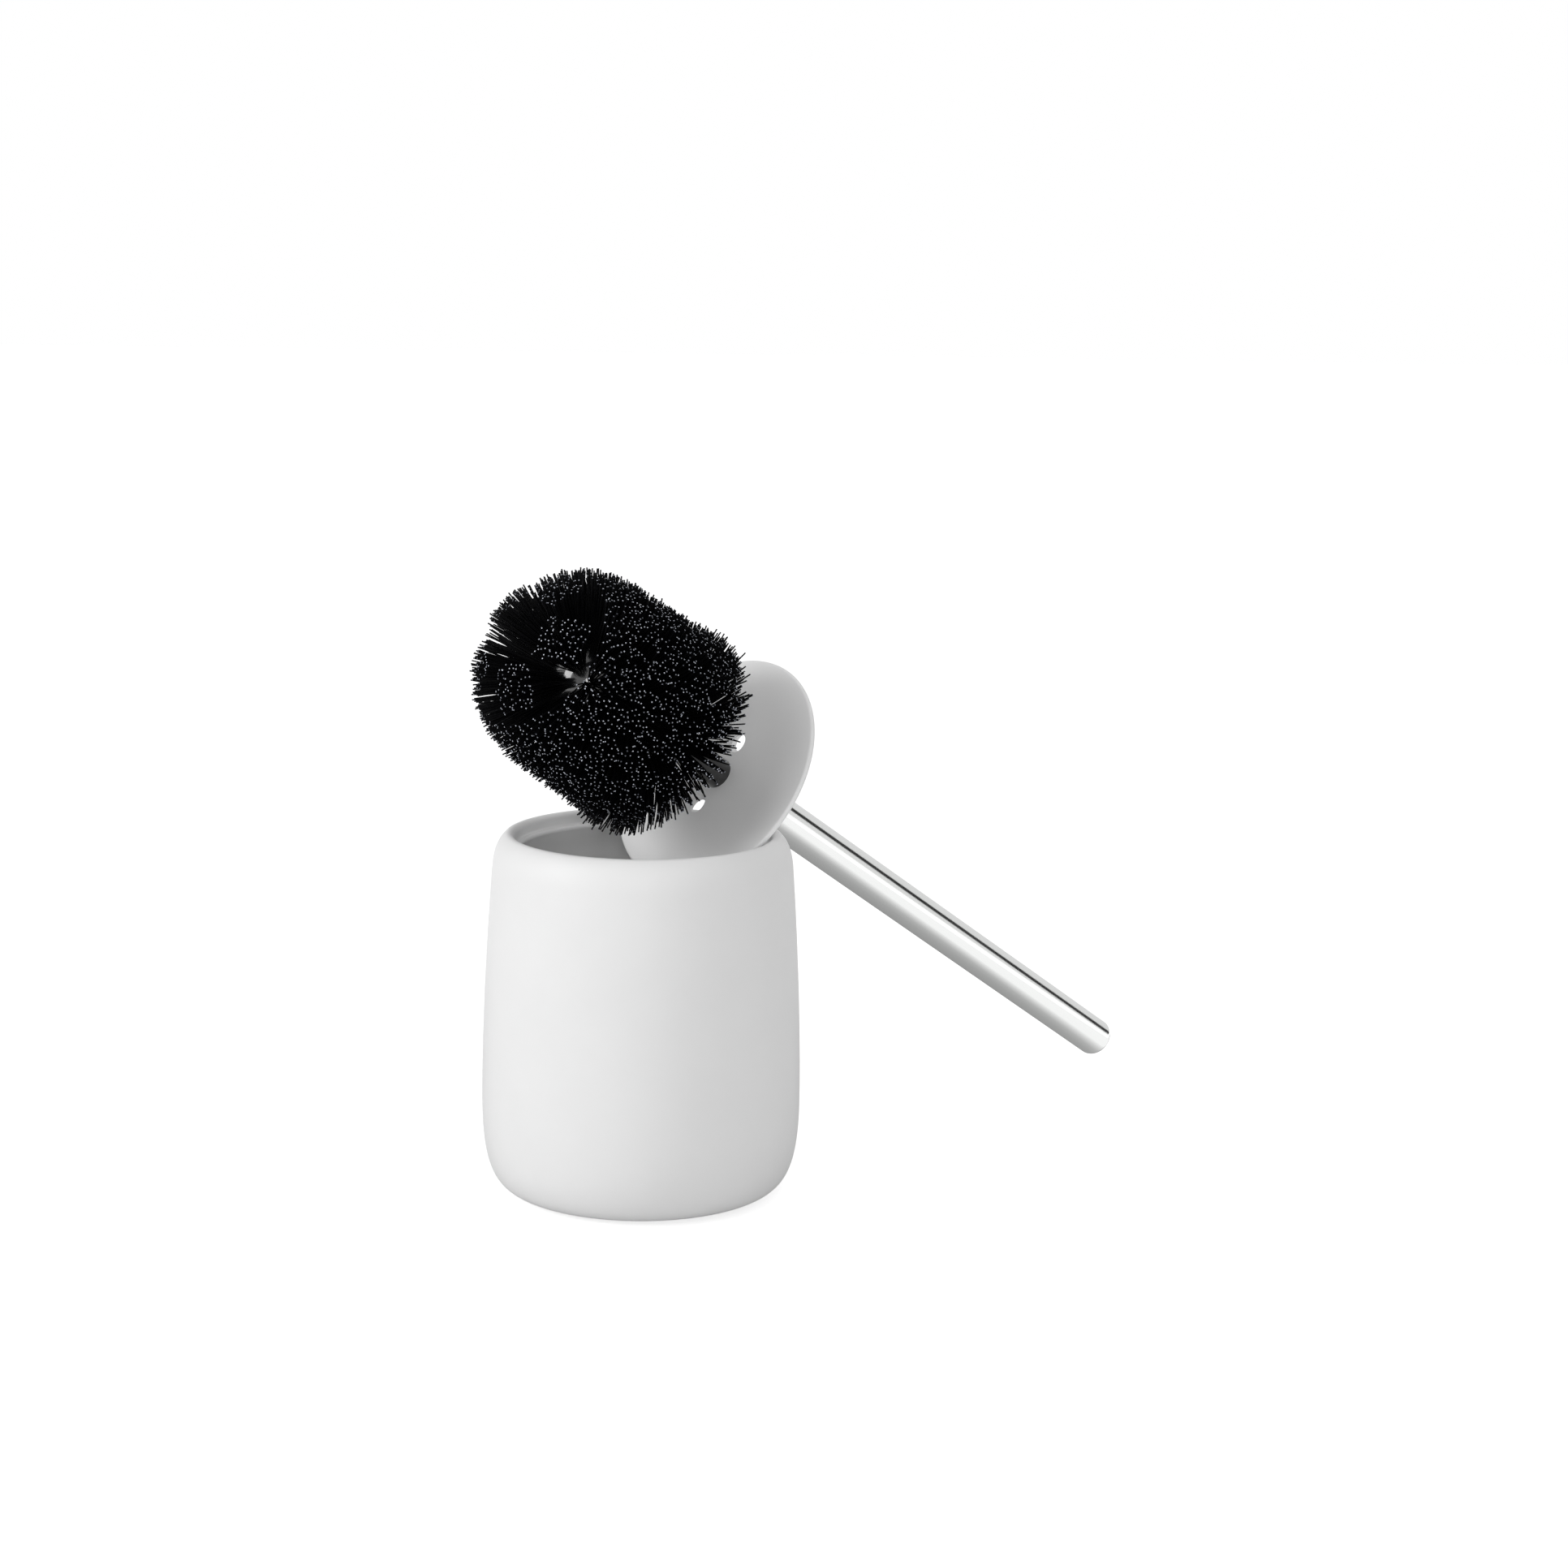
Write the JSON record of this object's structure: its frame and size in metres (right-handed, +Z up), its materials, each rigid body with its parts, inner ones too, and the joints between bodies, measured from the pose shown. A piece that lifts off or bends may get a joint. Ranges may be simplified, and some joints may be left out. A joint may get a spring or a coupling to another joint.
{
  "type": "toilet brush holder",
  "caption": "Rounded ceramic toilet brush pot with its brush lying loose in the mouth: steel handle, round lid and black bristle head that unscrews.",
  "frame": {"origin": "centre of the pad's face under the pot, where the set stands", "axes": "+Z up along the pot's axis; the brush's handle leaves the mouth at 41.3 degrees from +X towards +Y"},
  "size_m": [0.2625, 0.239, 0.2358],
  "materials": {
    "glaze": "satin-matt white glaze",
    "pad": "matte foam",
    "steel": "brushed along the handle",
    "insert": "moulded",
    "stud": "zinc plated",
    "lid": "moulded, satin",
    "core": "moulded, glossy",
    "bristle": "extruded bristle"
  },
  "bodies": {
    "holder": {"holder": "glaze", "base_pad": "pad"},
    "handle": {"handle_tube": "steel", "handle_cap": "steel", "thread_insert": "insert", "head_stud": "stud"},
    "lid": {"lid": "lid"},
    "head": {"brush_core": "core", "tuft_ring_1": "bristle", "tuft_ring_2": "bristle", "tuft_ring_3": "bristle", "tuft_ring_4": "bristle", "tuft_ring_5": "bristle", "tuft_ring_6": "bristle", "tuft_ring_7": "bristle", "tuft_ring_8": "bristle"}
  },
  "joints": [
    {"name": "brush_lift", "type": "slide", "parent": "holder", "child": "handle", "axis": [0, 0, 1], "range_m": [0, 0.2]},
    {"name": "lid_travel", "type": "slide", "parent": "handle", "child": "lid", "axis": [-0.635, -0.5579, 0.5344], "range_m": [0, 0.014]},
    {"name": "head_unscrew", "type": "hinge", "parent": "lid", "child": "head", "pos_m": [0.02628, 0.02309, 0.15648], "axis": [-0.635, -0.5579, 0.5344], "range_deg": [0, 5040]}
  ],
  "couplings": [
    {"joint": "lid_travel", "follows": "head_unscrew", "m_per_rad": 0.00015915}
  ]
}
